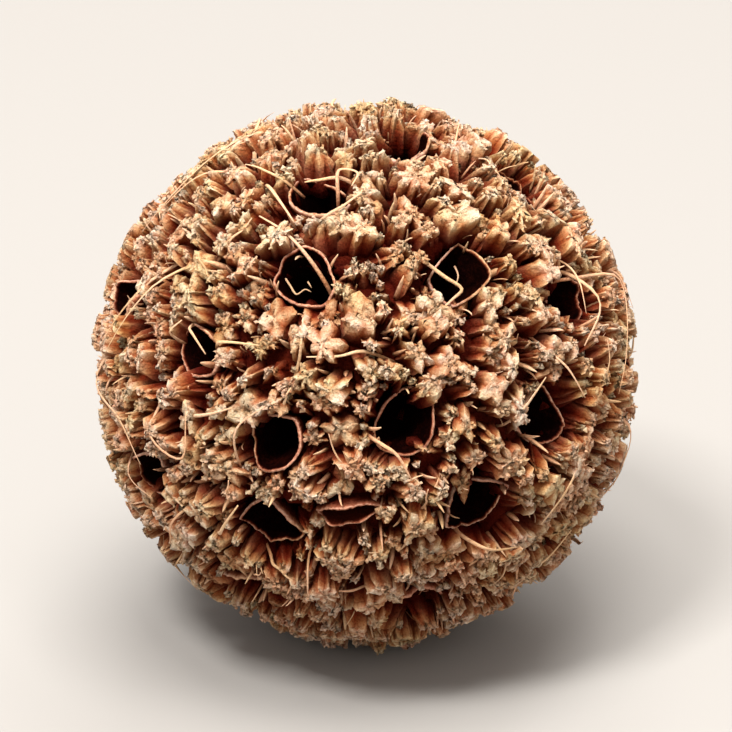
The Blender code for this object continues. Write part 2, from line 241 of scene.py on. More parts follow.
# Bristles along the best-seen side: points as (share right, share up), and thickness in mm
SEEN_BRISTLES = (
    (((-0.28, 0.93), (-0.52, 0.79), (-0.80, 0.50)), 0.30),
    (((-0.46, 0.76), (-0.60, 0.69), (-0.73, 0.58)), 0.22),
    (((-0.68, 0.43), (-0.83, 0.26), (-0.96, 0.08)), 0.26),
    (((-0.64, 0.42), (-0.79, 0.27), (-0.94, 0.05)), 0.20),
    (((-0.95, 0.12), (-0.97, -0.05), (-0.88, -0.17), (-0.80, -0.33)), 0.28),
    (((-0.78, -0.10), (-0.76, -0.24), (-0.65, -0.31), (-0.63, -0.14)), 0.22),
    (((0.77, 0.37), (0.83, 0.24), (0.77, 0.09)), 0.30),
    (((0.78, 0.36), (0.91, 0.33), (0.93, 0.10), (0.90, -0.08)), 0.22),
    (((0.95, -0.14), (0.95, -0.25), (0.89, -0.41)), 0.26),
    (((0.79, -0.29), (0.72, -0.40), (0.62, -0.54)), 0.32),
    (((0.37, -0.62), (0.45, -0.63), (0.54, -0.62)), 0.28),
    (((-0.90, -0.30), (-0.84, -0.38), (-0.76, -0.45)), 0.20),
    (((-0.11, 0.66), (-0.09, 0.71), (-0.03, 0.70), (-0.05, 0.65)), 0.24),
    (((-0.38, 0.71), (-0.31, 0.61), (-0.25, 0.52)), 0.26),
    (((-0.56, 0.10), (-0.48, 0.11), (-0.37, 0.09)), 0.24),
    (((0.01, -0.25), (0.10, -0.29), (0.16, -0.38)), 0.26),
    (((-0.47, -0.36), (-0.45, -0.20), (-0.35, -0.12)), 0.20),
    (((0.52, -0.20), (0.57, -0.10), (0.63, -0.02)), 0.22),
    (((-0.71, 0.12), (-0.68, 0.15), (-0.645, 0.18)), 0.22),
    (((-0.66, 0.18), (-0.61, 0.13), (-0.56, 0.06)), 0.24),
)

# Pale fibres in the openings: points as before, distance from the ball's middle and thickness in mm
SEEN_FIBRES = (
    (((-0.33, 0.38), (-0.31, 0.35), (-0.285, 0.315), (-0.25, 0.335), (-0.225, 0.325)), 12.4, 0.11),
    (((-0.24, 0.37), (-0.225, 0.345)), 12.3, 0.09),
    (((0.22, 0.42), (0.30, 0.36), (0.365, 0.315), (0.33, 0.275), (0.285, 0.235)), 13.3, 0.20),
    (((0.37, 0.44), (0.385, 0.40), (0.375, 0.36)), 12.2, 0.10),
)


# Directions on the ball


def tangents(direction):
    """The level and the upward tangent of the ball at a direction out of it."""
    right = Vector((0.0, 0.0, 1.0)).cross(direction)
    if right.length < 1e-6:
        right = Vector((1.0, 0.0, 0.0))
    right.normalize()
    return right, direction.cross(right)


def stepped(direction, right, up, x, y):
    """The direction reached from another by angles x and y along its tangents."""
    angle = math.hypot(x, y)
    if angle < 1e-9:
        return direction.copy()
    along = (right * x + up * y) / angle
    return direction * math.cos(angle) + along * math.sin(angle)


def angle_of(length):
    """The angle that a length takes on the surface of the ball."""
    return length / BALL_RADIUS


def moved(direction, heading, length):
    """The direction reached by a length along the surface, at a heading counted from the level tangent."""
    x = angle_of(length) * math.cos(heading)
    y = angle_of(length) * math.sin(heading)
    return stepped(direction, *tangents(direction), x, y)


def even_directions(count):
    """Directions spread evenly over a sphere in a golden spiral."""
    turn = math.pi * (3.0 - math.sqrt(5.0))
    found = []
    for i in range(count):
        z = 1.0 - 2.0 * (i + 0.5) / count
        ring = math.sqrt(1.0 - z * z)
        found.append(Vector((ring * math.cos(i * turn), ring * math.sin(i * turn), z)))
    return found


def seen_direction(x, y):
    """The direction that shows at a share of the ball's radius right and up on the best-seen side."""
    toward = Vector(TOWARD_VIEW)
    right = Vector((1.0, 0.0, 0.0))
    depth = math.sqrt(max(0.0, 1.0 - x * x - y * y))
    return (right * x + toward.cross(right) * y + toward * depth).normalized()


def smoothstep(x):
    x = np.clip(x, 0.0, 1.0)
    return x * x * (3.0 - 2.0 * x)


def unit(v):
    return v / np.linalg.norm(v, axis=-1, keepdims=True)


def tangent_arrays(directions):
    """Level and upward tangents of many directions."""
    right = np.cross(np.array((0.0, 0.0, 1.0)), directions)
    right = unit(right + np.array((1e-9, 0.0, 0.0)))
    return right, np.cross(directions, right)


def surface_gaps(directions, others):
    """Distances along the ball's surface from each of some directions to each of others."""
    return np.arccos(np.clip(directions @ others.T, -1.0, 1.0)) * BALL_RADIUS


def swellings(directions):
    """How much the lumpy ball stands out at each direction, as factors near 1."""
    return np.array([1.0 + LUMPINESS * noise.noise(Vector(d) * LUMPS_ACROSS) for d in directions])


def capsule_places(rng):
    """Each capsule as (direction, half length, half width, turn), in the solid's places."""
    places = [
        (seen_direction(x, y), OPENING_LONG * size, OPENING_WIDE * size * gape, math.radians(turn))
        for x, y, size, gape, turn in SEEN_CAPSULES
    ]
    taken = [place[0] for place in places] + [Vector((0.0, 0.0, -1.0))]
    candidates = even_directions(CAPSULE_CANDIDATES)
    while len(places) < CAPSULE_COUNT:
        best = min(candidates, key=lambda c: max(c.dot(t) for t in taken))
        taken.append(best)
        size = rng.uniform(*CAPSULE_SIZE)
        gape = rng.choice(CAPSULE_GAPES)
        places.append((best, OPENING_LONG * size, OPENING_WIDE * size * gape, rng.uniform(0.0, math.pi)))
    return places


def mouths(places):
    """Directions and mean radii of the openings."""
    middles = np.array([tuple(place[0]) for place in places])
    return middles, np.array([(long + wide) / 2.0 for _, long, wide, _ in places])


def blocked_areas(places, mouth_margin, scar_margin):
    """Directions of the openings and the scar, and the radii round them that scales keep out of."""
    middles, radii = mouths(places)
    radii = np.append(radii + mouth_margin, SCAR_SKIRT + scar_margin)
    return np.vstack([middles, (0.0, 0.0, -1.0)]), radii


def pushed_apart(tips, others, reach, share):
    """Directions moved away from others within reach, by a share of what is missing."""
    gap = tips[:, None, :] - others[None, :, :]
    distance = np.linalg.norm(gap, axis=2)
    distance[distance == 0.0] = 9.0
    push = np.clip(reach - distance, 0.0, None) / distance
    return tips + share * (gap * push[:, :, None]).sum(1)


def spread_tips(places, rng):
    """Directions of the large scales, spread evenly between the openings, and the spacing round each."""
    tips = []
    for d in even_directions(SCALE_COUNT):
        x, y = rng.gauss(0.0, SCALE_SCATTER), rng.gauss(0.0, SCALE_SCATTER)
        tips.append(tuple(stepped(d, *tangents(d), x, y)))
    tips = np.array(tips)
    size = np.array([rng.uniform(*SCALE_SIZE) for _ in tips])
    blocks, radii = blocked_areas(places, CAPSULE_MARGIN, SCAR_MARGIN)
    block_angle = angle_of(radii)
    inside = (surface_gaps(tips, blocks) < radii * STARTING_SHARE).any(1)
    tips, size = tips[~inside], size[~inside]
    free_area = 4.0 * math.pi - 2.0 * math.pi * (1.0 - np.cos(block_angle)).sum()
    spacing = math.sqrt(free_area / len(tips) * 2.0 / math.sqrt(3.0)) * CROWDING
    reach = spacing * (size[:, None] + size[None, :]) / 2.0
    for _ in range(SPREADING_STEPS):
        tips = pushed_apart(tips, tips, reach, 0.3)
        tips = pushed_apart(tips, blocks, block_angle[None, :], 0.9)
        tips = unit(tips)
    return tips, size * spacing * BALL_RADIUS


def beside_mouths(directions, places):
    """How near each direction is to an opening's edge (1 on it, 0 out of reach), the way out from that
    opening, and how squarely it stands in front of it on the best-seen side."""
    middles, radii = mouths(places)
    distance = surface_gaps(directions, middles) - radii[None, :]
    closest = middles[distance.argmin(1)]
    near = smoothstep(1.0 - (distance.min(1) - MOUTH_RIM) / MOUTH_REACH)
    away = unit(directions - closest)
    toward = np.array(TOWARD_VIEW)
    in_front = np.clip(away @ toward, 0.0, 1.0) * (closest @ toward > 0.05)
    return near, away, in_front


def mark_crisp(mesh, line):
    """Keeps the edges sharp whose two ends are on the same line. A line below 0 means none."""
    ends = np.zeros(len(mesh.edges) * 2, dtype=np.int32)
    mesh.edges.foreach_get("vertices", ends)
    lines = line[ends.reshape(-1, 2)]
    crisp = (lines[:, 0] == lines[:, 1]) & (lines[:, 0] >= 0)
    mesh.attributes.new("sharp_edge", "BOOLEAN", "EDGE").data.foreach_set("value", crisp)


def mesh_object(name, points, faces, attributes, material, smooth=True):
    """A piece with a number a point for each attribute. The one named line only marks crisp edges."""
    mesh = bpy.data.meshes.new(name)
    mesh.from_pydata(points.tolist(), [], faces)
    for attribute, values in attributes.items():
        if attribute == "line":
            mark_crisp(mesh, values)
        else:
            layer = mesh.attributes.new(attribute, "FLOAT", "POINT")
            layer.data.foreach_set("value", values.astype(np.float32))
    mesh.polygons.foreach_set("use_smooth", [smooth] * len(mesh.polygons))
    mesh.materials.append(material)
    mesh.update()
    obj = bpy.data.objects.new(name, mesh)
    bpy.context.scene.collection.objects.link(obj)
    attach(obj, "root")
    return obj


def kept_inside(points):
    """The points with the furthest tips drawn in, and pressed flat where they pass the resting plane."""
    offset = points - np.array(CENTRE)
    distance = np.linalg.norm(offset, axis=1, keepdims=True)
    beyond = np.maximum(distance - FURTHEST, 0.0) * (offset[:, 2:] > POINTING_DOWN * distance)
    points = points - offset / distance * beyond * DRAWN_IN
    points[:, 2] = np.maximum(points[:, 2], 0.0)
    return points


def point_values(level, crease, tone):
    return {"level": np.array(level), "crease": np.array(crease), "tone": np.array(tone)}


def joined(batches):
    """Several batches of (points, faces, attributes) as one."""
    points, faces, attributes = [], [], []
    start = 0
    for some_points, some_faces, some_attributes in batches:
        points.append(some_points)
        faces += [tuple(v + start for v in face) for face in some_faces]
        attributes.append(some_attributes)
        start += len(some_points)
    merged = {key: np.concatenate([a[key] for a in attributes]) for key in attributes[0]}
    return np.concatenate(points), faces, merged


def tube_faces(rows, around):
    """Four-sided faces between successive rings of points."""
    faces = []
    for low in range(0, (rows - 1) * around, around):
        for a in range(around):
            b = (a + 1) % around
            faces.append((low + a, low + b, low + around + b, low + around + a))
    return faces


def fan_faces(rows, around):
    """Three-sided faces from the last of some rings of points to the point after it."""
    last = (rows - 1) * around
    return [(last + a, last + (a + 1) % around, rows * around) for a in range(around)]


# The scales


def lobed_rings(rng, scales, lobes, samples):
    """Round each of many pegs: the angle, the crease (1 deep in one, 0 on a ridge), and each lobe's reach and
    height. Sharp lobes are ridges with hollow flutes between them."""
    count = len(scales["top"])
    width = rng.uniform(*LOBE_WIDTHS, (count, lobes))
    width *= math.tau / width.sum(1, keepdims=True)
    start = np.cumsum(width, axis=1) - width + rng.uniform(0.0, math.tau, (count, 1))
    share = np.arange(samples) / samples
    angle = start[:, :, None] + width[:, :, None] * share
    blunt = np.sin(math.pi * share) ** 0.6
    ridge = 1.0 - np.abs(2.0 * share - 1.0)
    sharp = scales["sharp"][:, None, None]
    bulge = np.broadcast_to(blunt * (1.0 - sharp) + ridge * sharp, angle.shape)
    reach = 1.0 + rng.uniform(*LOBE_REACHES, (count, lobes)) * scales["uneven"][:, None]
    height = rng.uniform(-1.0, 1.0, (count, lobes))
    reach = np.repeat(reach[:, :, None], samples, axis=2)
    height = np.repeat(height[:, :, None], samples, axis=2)
    reach[:, :, 0] = (reach[:, :, 1] + np.roll(reach[:, :, 1], 1, axis=1)) / 2.0
    height[:, :, 0] = np.minimum(height[:, :, 1], np.roll(height[:, :, 1], 1, axis=1))
    return [values.reshape(count, lobes * samples) for values in (angle, 1.0 - bulge, reach, height)]


def peg_rows(rng, scales, crease, height):
    """The rings of many pegs from root to crown, as (share of the way up, radius, rise above the root)."""
    half, low, high, flute, jag = (scales[key][:, None] for key in ("half", "low", "high", "flute", "jag"))
    dome = scales["dome"][:, None] * MM
    dip = scales["dip"][:, None] * MM
    length = (scales["top"] - SCALE_ROOT)[:, None]
    rows = []
    for u, drop in SIDE_ROWS:
        profile = (low + (high - low) * u**1.3) * (1.0 - drop)
        gnarl = rng.normal(1.0, GNARL * u, crease.shape)
        radius = half * profile * (1.0 - flute * crease * (0.5 + 0.5 * u)) * gnarl
        rise = u * length + height * jag * smoothstep((u - 0.35) / 0.65) * MM
        rows.append((u, radius, rise))
    shoulder = half * high * (1.0 - SIDE_ROWS[-1][1])
    for s in CROWN_ROWS:
        radius = shoulder * (1.0 - flute * crease * 0.9) * s
        rise = length + height * jag * s * MM + dome * (1.0 - s * s) - dip * (1.0 - s) ** 1.5
        rows.append((1.0, radius, rise - CROWN_CREASE * crease * s * s))
    return rows


def crisp_lines(count, rows, lobes, samples):
    """For each point of many pegs, the number of the ridge or crease line that it is on, or -1."""
    around = lobes * samples
    column = np.arange(around)
    ring = np.where(np.isin(column % samples, (0, samples // 2)), column, -1)
    one = np.concatenate([np.tile(ring, rows), [-1]])
    numbers = one[None, :] + np.arange(count)[:, None] * around
    return np.where(one[None, :] < 0, -1, numbers).ravel()


def peg_faces(count, rows, around):
    """Faces of closed pegs: one across each root, the sides, and a fan over the crown."""
    one = [tuple(range(around - 1, -1, -1))] + tube_faces(rows, around) + fan_faces(rows, around)
    faces = []
    for start in range(0, count * (rows * around + 1), rows * around + 1):
        faces += [tuple(v + start for v in face) for face in one]
    return faces


def scale_pegs(rng, scales, lobes, samples):
    """Points, faces and attributes of many scales, from arrays of their places, sizes and shapes."""
    direction, top = scales["direction"], scales["top"]
    count = len(top)
    angle, crease, reach, height = lobed_rings(rng, scales, lobes, samples)
    right, up = tangent_arrays(direction)
    turn = rng.uniform(0.0, math.pi, count)[:, None]
    right, up = right * np.cos(turn) + up * np.sin(turn), up * np.cos(turn) - right * np.sin(turn)
    top_direction = unit(direction + scales["lean"] / BALL_RADIUS)
    twist = rng.normal(0.0, TWIST, count)[:, None]
    stretch = scales["stretch"][:, None]
    rows = peg_rows(rng, scales, crease, height)

    around = lobes * samples
    size = len(rows) * around + 1
    points = np.empty((count, size, 3))
    distance = np.empty((count, size))
    creases = np.empty((count, size))
    for j, (u, radius, rise) in enumerate(rows):
        axis = unit(direction * (1.0 - u) + top_direction * u)
        swing = angle + twist * u
        x = np.cos(swing) * reach * stretch * radius
        y = np.sin(swing) * reach / stretch * radius
        ring = axis[:, None, :] * (SCALE_ROOT + rise)[:, :, None]
        span = slice(j * around, (j + 1) * around)
        points[:, span] = ring + right[:, None, :] * x[:, :, None] + up[:, None, :] * y[:, :, None]
        distance[:, span] = SCALE_ROOT + rise
        creases[:, span] = crease if j < len(SIDE_ROWS) else crease * 0.6
    middle = top + (scales["dome"] * MM - scales["dip"] * MM)
    points[:, -1] = top_direction * middle[:, None]
    distance[:, -1] = middle
    creases[:, -1] = 0.1

    grain = rng.normal(0.0, GRAIN, points.shape)
    grain[:, :around] = 0.0
    grain[:, len(SIDE_ROWS) * around :] *= CROWN_GRAIN
    points = points + grain + np.array(CENTRE)
    level = (distance - LEVEL_LOW) / (top[:, None] + 0.1 * MM - LEVEL_LOW)
    tone = np.repeat(rng.uniform(0.0, 1.0, count)[:, None], size, axis=1)
    attributes = point_values(np.clip(level, 0.0, 1.0).ravel(), creases.ravel(), tone.ravel())
    attributes["line"] = crisp_lines(count, len(rows), lobes, samples)
    return kept_inside(points.reshape(-1, 3)), peg_faces(count, len(rows), around), attributes


def large_shapes(rng, tips):
    """The shape of each large scale: mostly stars in front and behind, and flames round the outline."""
    count = len(tips)
    style = rng.uniform(0.0, 1.0, count)
    facing = np.abs(tips @ np.array(TOWARD_VIEW))
    is_flame = style < 0.62 - 0.40 * facing
    is_star = style > 0.82 - 0.24 * facing
    shapes = {"uneven": np.ones(count)}
    for key, ranges in LARGE_SHAPES.items():
        flames, stars, lumps = (rng.uniform(*limits, count) for limits in ranges)
        shapes[key] = np.where(is_flame, flames, np.where(is_star, stars, lumps))
    return shapes


def large_scales(rng, tips, spacing, places, material):
    """Four pieces of large scales, from the top down. Returns their directions and half widths, and their
    crowns' points, levels and tones."""
    count = len(tips)
    order = np.argsort(-tips[:, 2], kind="stable")
    tips, spacing = tips[order], spacing[order]
    near, away, in_front = beside_mouths(tips, places)
    top = rng.uniform(*SCALE_TOP, count) * swellings(tips) - near * (MOUTH_DROP + in_front * FRONT_DROP)
    pressed = tips[:, 2] < -math.cos(RESTING_ANGLE)
    top[pressed] = BALL_RADIUS / math.cos(RESTING_ANGLE)
    lean = rng.normal(0.0, SCALE_LEAN, (count, 3)) + away * (near * MOUTH_LEAN)[:, None]
    lean[pressed] = 0.0
    half = spacing / 2.0 * rng.uniform(*SCALE_FILL, count)
    scales = {"direction": tips, "lean": lean, "half": half, "top": top, **large_shapes(rng, tips)}
    lobes = rng.choice(SCALE_LOBES, count)
    crowns = []
    for name, part in zip(SCALE_PIECES, np.array_split(np.arange(count), len(SCALE_PIECES))):
        batches = []
        for number in SCALE_LOBES:
            some = part[lobes[part] == number]
            chosen = {key: values[some] for key, values in scales.items()}
            batches.append(scale_pegs(rng, chosen, number, LOBE_SAMPLES))
        points, faces, attributes = joined(batches)
        mesh_object(name, points, faces, attributes, material)
        crown = (attributes["level"] > CRUMB_LEVEL) & (points[:, 2] > 0.5 * MM)
        crowns.append((points[crown], attributes["level"][crown], attributes["tone"][crown]))
    return tips, half, [np.concatenate(parts) for parts in zip(*crowns)]


def gap_directions(tips, half, places):
    """Directions and half widths of small scales in the gaps between large ones, the widest gap first."""
    candidates = np.array([tuple(d) for d in even_directions(GAP_CANDIDATES)])
    room = (surface_gaps(candidates, tips) - half[None, :]).min(1)
    blocks, radii = blocked_areas(places, SMALL_MOUTH_MARGIN, SMALL_SCAR_MARGIN)
    clear = surface_gaps(candidates, blocks) - radii[None, :]
    room[clear.min(1) < 0.0] = 0.0
    chosen, widths = [], []
    while len(chosen) < SMALL_COUNT and room.max() > SMALLEST_GAP:
        best = room.argmax()
        width = np.clip(room[best] * SMALL_OVERLAP, *SMALL_HALF_WIDTH)
        chosen.append(candidates[best])
        widths.append(width)
        room = np.minimum(room, surface_gaps(candidates, candidates[best]) - width)
    return np.array(chosen), np.array(widths)


def small_scales(rng, tips, half, places, material):
    """Low rounded knobs that fill the gaps between the large scales."""
    directions, wide = gap_directions(tips, half, places)
    count = len(directions)
    near, _, in_front = beside_mouths(directions, places)
    top = rng.uniform(*SMALL_TOP, count) * swellings(directions) - near * in_front * FRONT_DROP * 0.7
    scales = {"direction": directions, "half": wide, "top": top}
    for key, limits in SMALL_SHAPES.items():
        scales[key] = rng.uniform(*limits, count)
    scales["dip"] = np.zeros(count)
    scales["uneven"] = np.full(count, SMALL_UNEVENNESS)
    scales["lean"] = rng.normal(0.0, SMALL_LEAN, (count, 3))
    mesh_object("scales_small", *scale_pegs(rng, scales, SMALL_LOBES, SMALL_LOBE_SAMPLES), material)


def crumbs(rng, crowns, material):
    """Small angular crumbs of weathered wood on the crowns, at most one in each cell of a fine grid."""
    spots, level, tone = crowns
    order = rng.permutation(len(spots))
    cells = np.floor(spots[order] / CRUMB_SPACING).astype(int)
    first = np.unique(cells, axis=0, return_index=True)[1]
    chosen = rng.permutation(order[first])[:CRUMB_COUNT]
    count = len(chosen)
    corner_count = len(CRUMB_CORNERS)
    turned = np.linalg.qr(rng.normal(0.0, 1.0, (count, 3, 3)))[0]
    turned *= np.sign(np.linalg.det(turned))[:, None, None]
    stretch = rng.uniform(0.6, 1.5, (count, 1, 3))
    corners = np.array(CRUMB_CORNERS, dtype=float) * stretch + rng.normal(0.0, 0.18, (count, corner_count, 3))
    size = rng.uniform(*CRUMB_SIZE, count)
    points = spots[chosen][:, None, :] + corners @ turned * size[:, None, None]
    faces = np.array(CRUMB_FACES)[None, :, :] + np.arange(count)[:, None, None] * corner_count
    # A random crease sets how much painted ridge highlight and painted crease shade each crumb gets.
    values = (level[chosen], rng.uniform(0.12, 0.5, count), tone[chosen])
    attributes = point_values(*(np.repeat(v, corner_count) for v in values))
    points = kept_inside(points.reshape(-1, 3))
    mesh_object("crumbs", points, faces.reshape(-1, 3).tolist(), attributes, material, smooth=False)


# The core and the capsules


def opening_share(directions, place):
    """How far each direction is from the middle of an opening: below 1 inside it, and 1 on its outline."""
    direction, long, wide, turn = place
    right, up = tangents(direction)
    x = directions @ np.array(right)
    y = directions @ np.array(up)
    along = x * math.cos(turn) + y * math.sin(turn)
    across = y * math.cos(turn) - x * math.sin(turn)
    share = np.hypot(along / angle_of(long), across / angle_of(wide))
    return np.where(directions @ np.array(direction) > 0.0, share, 99.0)


def woody_core(places, material):
    """The ground that the scales stand on, painted near black as shade, sunk in where the capsules are."""
    bpy.ops.mesh.primitive_ico_sphere_add(subdivisions=CORE_LEVELS, radius=1.0)
    ball = bpy.context.object
    mesh = ball.data
    directions = np.zeros(len(mesh.vertices) * 3)
    mesh.vertices.foreach_get("co", directions)
    directions = unit(directions.reshape(-1, 3))
    faces = [tuple(p.vertices) for p in mesh.polygons]
    bpy.data.objects.remove(ball)
    bpy.data.meshes.remove(mesh)
    rough = np.array([noise.noise(Vector(d) * 22.0) for d in directions])
    distance = CORE_RADIUS * swellings(directions) + rough * CORE_ROUGHNESS
    for place in places:
        bottom = CLOSED_RADIUS if place[2] < CLOSED_WIDTH else PIT_RADIUS
        distance = np.where(opening_share(directions, place) < 1.12, bottom - 0.3 * MM, distance)
    points = kept_inside(np.array(CENTRE) + directions * distance[:, None])
    # A level near 0 paints the core near black: painted shade between the scales.
    level = np.where(distance > CLOSED_RADIUS, 0.04, 0.0)
    attributes = point_values(level, np.full(len(points), 0.5), 0.5 + 0.5 * rough)
    return mesh_object("woody_core", points, faces, attributes, material)


def opening_outline(rng):
    """Points round an opening of radius 1: an uneven polygon with bulging sides, and corners where its two
    valves meet."""
    upper, lower = rng.integers(1, 3, 2)
    angles = [math.pi * i / (upper + 1) for i in range(upper + 1)]
    angles += [math.pi * (1.0 + i / (lower + 1)) for i in range(lower + 1)]
    angles = np.array(angles) + rng.uniform(-0.25, 0.25, len(angles))
    radius = rng.uniform(0.92, 1.14, len(angles))
    corner_x, corner_y = np.cos(angles) * radius, np.sin(angles) * radius
    share = np.arange(LIP_AROUND) * len(corner_x) / LIP_AROUND
    corner = share.astype(int)
    along = share - corner
    following = (corner + 1) % len(corner_x)
    bulge = 1.0 + 0.16 * np.sin(math.pi * along)
    x = (corner_x[corner] * (1.0 - along) + corner_x[following] * along) * bulge
    y = (corner_y[corner] * (1.0 - along) + corner_y[following] * along) * bulge
    return x, y


def lip_edge(angle, closed, rng):
    """How far from the ball's middle the edge of a lip is at each angle: two valves, each with a worn beak."""
    upper, lower = rng.uniform(*VALVE_HEIGHTS, 2)
    if closed:
        upper, lower = rng.uniform(*CLOSED_VALVE_HEIGHTS, 2)
    valve = np.where(np.sin(angle) > 0.0, upper, lower) * np.abs(np.sin(angle)) ** 1.1
    beaks = 0.0
    for middle, shift in zip((0.5 * math.pi, 1.5 * math.pi), rng.uniform(-0.6, 0.6, 2)):
        height = rng.uniform(*BEAK_HEIGHTS)
        beaks = beaks + np.exp(-(((angle - middle - shift) / BEAK_WIDTH) ** 2)) * height
    ragged = sum(rng.uniform(0.0, 0.12) * np.sin(k * angle + rng.uniform(0.0, 6.28)) for k in (1, 2, 3, 5, 7))
    edge = LIP_RADIUS + LIP_RISE * (valve + beaks + ragged) + rng.normal(0.0, LIP_CHIPS, LIP_AROUND)
    return np.minimum(edge, FURTHEST)


def lip_rows(edge, closed):
    """Rows of a lip's section, up its outside and down to the pit's bottom, as (distance from the ball's
    middle, offset outwards, narrowing, level)."""
    least = CLOSED_LEVEL if closed else 0.0
    rows = []
    # Level falls with depth on both sides of the wall, so the colour darkens as painted shade down into the
    # gaps and the pit.
    for depth in LIP_OUTSIDE:
        rows.append((edge - depth * MM, LIP_WALL * (0.5 + 0.35 * depth), 1.0, max(least, 1.0 - depth / 0.9)))
    for depth in LIP_INSIDE[:CLOSED_INSIDE_ROWS] if closed else LIP_INSIDE:
        level = max(least, 1.0 - depth / 0.22)
        rows.append((edge - depth * MM, -LIP_WALL * (0.5 + 0.9 * depth), 1.0 - 0.02 * depth, level))
    bottom = CLOSED_RADIUS if closed else PIT_RADIUS
    rows.append((np.full(LIP_AROUND, bottom), -LIP_WALL * 3.6, 0.9, least))
    return rows


def capsule_lip(place, rng):
    """One open capsule: a thin wall of two low valves with a pale edge, and a pit inside painted dark as
    shade.
    """
    direction, long, wide, turn = place
    closed = wide < CLOSED_WIDTH
    x, y = opening_outline(rng)
    edge = lip_edge(np.arctan2(y, x) % math.tau, closed, rng) * swellings([direction])[0]
    x, y = x * long, y * wide
    x, y = x * math.cos(turn) - y * math.sin(turn), x * math.sin(turn) + y * math.cos(turn)
    reach = np.hypot(x, y)
    right, up = (np.array(v) for v in tangents(direction))
    middle, out = np.array(CENTRE), np.array(direction)
    tone = rng.uniform(0.0, 1.0)
    rows = lip_rows(edge, closed)
    points, levels = [], []
    for distance, offset, narrowing, level in rows:
        across = x * narrowing + x / reach * offset
        along = y * narrowing + y / reach * offset
        spread = (distance / BALL_RADIUS)[:, None]
        ring = out * distance[:, None] + (right * across[:, None] + up * along[:, None]) * spread
        points.append(ring + middle + rng.normal(0.0, LIP_ROUGHNESS, ring.shape))
        levels += [level] * LIP_AROUND
    points.append([middle + out * (rows[-1][0][0] * 0.985)])
    levels.append(rows[-1][3])
    faces = tube_faces(len(rows), LIP_AROUND) + fan_faces(len(rows), LIP_AROUND)
    attributes = point_values(levels, np.zeros(len(levels)), np.full(len(levels), tone))
    return np.concatenate(points), faces, attributes


def capsule_lips(rng, places, material):
    points, faces, attributes = joined([capsule_lip(place, rng) for place in places])
    mesh_object("capsule_lips", kept_inside(points), faces, attributes, material)


# Bristles and slivers


def smooth_path(points, steps):
    """Points along a curve through the given ones."""
    points = [points[0] * 2.0 - points[1]] + list(points) + [points[-1] * 2.0 - points[-2]]
    path = []
    for a, b, c, d in zip(points, points[1:], points[2:], points[3:]):
        squared = a * 2.0 - b * 5.0 + c * 4.0 - d
        cubed = b * 3.0 - a - c * 3.0 + d
        for i in range(steps):
            t = i / steps
            path.append(0.5 * (b * 2.0 + (c - a) * t + squared * t**2 + cubed * t**3))
    path.append(points[-2])
    return path


def kinked(path, rng, amount):
    """A path with small kinks, its ends left in place."""
    inner = [p + Vector([rng.uniform(-1, 1) for _ in range(3)]) * amount for p in path[1:-1]]
    return [path[0]] + inner + [path[-1]]


class Strands:
    """Tapered rods along paths, gathered into one piece."""

    def __init__(self):
        self.points, self.faces, self.level, self.tone = [], [], [], []

    def add(self, path, thickness, tone, sides=6, flatness=0.75, blunt=0.35, pale=0.0):
        start = len(self.points)
        count = len(path)
        for i, point in enumerate(path):
            ahead = (path[min(i + 1, count - 1)] - path[max(i - 1, 0)]).normalized()
            side = ahead.cross((point - CENTRE).normalized()).normalized()
            lift = side.cross(ahead)
            share = i / (count - 1)
            radius = thickness / 2.0 * (1.12 - (1.12 - blunt) * share**2)
            for k in range(sides):
                angle = math.tau * k / sides
                p = point + (side * math.cos(angle) + lift * (math.sin(angle) * flatness)) * radius
                # Level by distance from the middle: the strands darken towards their roots as painted shade,
                # unless kept pale.
                level = ((p - CENTRE).length - BRISTLE_LEVEL_LOW) / BRISTLE_LEVEL_RANGE
                self.points.append(tuple(p))
                self.level.append(min(1.0, max(pale, level)))
                self.tone.append(tone)
        ends = [tuple(range(sides - 1, -1, -1)), tuple((count - 1) * sides + k for k in range(sides))]
        self.faces += [tuple(v + start for v in face) for face in tube_faces(count, sides) + ends]

    def build(self, name, material):
        attributes = point_values(self.level, np.zeros(len(self.level)), self.tone)
        mesh_object(name, kept_inside(np.array(self.points)), self.faces, attributes, material)


def bristle_path(root, heading, length, top, low=BRISTLE_ROOT_RADIUS, bend=BRISTLE_BEND, steps=4):
    """Points along a bristle: out of a valley, over the scales, and bent along them towards its tip."""
    points = []
    right, up = tangents(root)
    for i in range(steps + 1):
        share = i / steps
        along = angle_of(length) * share
        swing = heading + bend * share
        direction = stepped(root, right, up, along * math.cos(swing), along * math.sin(swing))
        rise = 1.0 - (1.0 - share) ** 2.2
        points.append(CENTRE + direction * (low + (top - low) * rise))
    return points


def solid_bristles(strands, rng, looks, places):
    """The solid's long bristles. The first generator gives their places, as there, and looks the rest."""
    roots = even_directions(BRISTLE_COUNT * 2)
    rng.shuffle(roots)
    made = 0
    for root in roots:
        if made == BRISTLE_COUNT:
            break
        heading = rng.uniform(0.0, math.tau)
        points = bristle_path(root, heading, rng.uniform(*BRISTLE_LENGTH), rng.uniform(*BRISTLE_TOP_RADIUS))
        in_pit = any(root.angle(place[0]) < angle_of(place[1]) + 0.02 for place in places)
        if in_pit or min(p.z for p in points) < 1.0 * MM:
            continue
        thickness = BRISTLE_THICKNESS * looks.uniform(0.55, 1.0)
        strands.add(smooth_path(kinked(points, looks, BRISTLE_KINKS), 4), thickness, looks.random())
        made += 1


